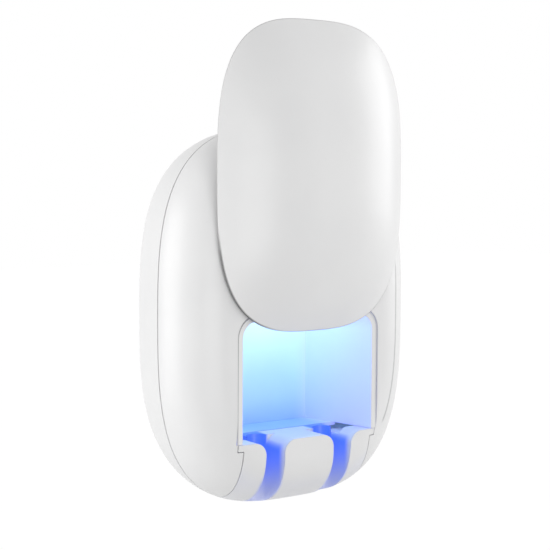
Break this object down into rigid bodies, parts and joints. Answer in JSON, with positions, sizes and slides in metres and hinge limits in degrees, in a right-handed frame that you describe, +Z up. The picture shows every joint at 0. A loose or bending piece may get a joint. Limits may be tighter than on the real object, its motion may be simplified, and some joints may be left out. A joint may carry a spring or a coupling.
{
  "type": "uv toothbrush sterilizer",
  "caption": "Wall-hung toothbrush steriliser: domed oval shell, crowned cover that slides down over a lit bay, open brush slots in the lower lip, push button on one side.",
  "frame": {"origin": "centre of the wall plate's back face, on the wall", "axes": "+Z up, the front faces -Y, +Y points into the wall, +X is to the right of a person who looks at the front"},
  "size_m": [0.0828, 0.047, 0.1384],
  "materials": {
    "shell_white": "smooth satin-gloss white moulding",
    "cover_white": "polished white moulding",
    "liner_white": "smooth white moulding lit blue by the lamps",
    "inner_white": "plain white moulding",
    "button_white": "smooth white cap",
    "gasket": "dark soft seal",
    "foam": "thin adhesive foam",
    "screw_steel": "zinc plated",
    "socket_steel": "plated sheet",
    "magnet": "nickel plated",
    "glide": "low-friction plastic",
    "board": "green laminate",
    "cell_sleeve": "shrink sleeve",
    "switch_black": "moulded",
    "lamp": "lamp packages",
    "window": "clear window",
    "light_pipe": "clear light pipe"
  },
  "bodies": {
    "wall_mount": {"wall_plate": "inner_white", "adhesive_pad": "foam"},
    "housing": {"rear_shell": "shell_white", "front_shell": "shell_white", "shell_gasket": "gasket", "chamber_liner": "liner_white", "brush_holder": "shell_white", "guide_rail_left": "inner_white", "guide_rail_right": "inner_white", "shell_screws": "screw_steel", "control_board": "board", "battery_cell": "cell_sleeve", "battery_cradle": "inner_white", "button_switch": "switch_black", "uv_board": "board", "uv_leds": "lamp", "uv_window": "window", "usb_board": "board", "usb_socket": "socket_steel", "status_light": "light_pipe"},
    "cover": {"sliding_cover": "cover_white", "cover_carriage": "inner_white", "cover_screws": "screw_steel", "slide_bar": "inner_white", "slide_screws": "screw_steel", "cover_magnet": "magnet", "glide_pads": "glide"},
    "button": {"power_button": "button_white"}
  },
  "joints": [
    {"name": "lift_off", "type": "slide", "parent": "wall_mount", "child": "housing", "axis": [0, 0, 1], "range_m": [0, 0.006]},
    {"name": "cover_slide", "type": "slide", "parent": "housing", "child": "cover", "axis": [0, 0, -1], "range_m": [0, 0.036]},
    {"name": "button_press", "type": "slide", "parent": "housing", "child": "button", "axis": [-1, 0, 0], "range_m": [0, 0.0006], "stiffness_N_per_m": 2000}
  ]
}
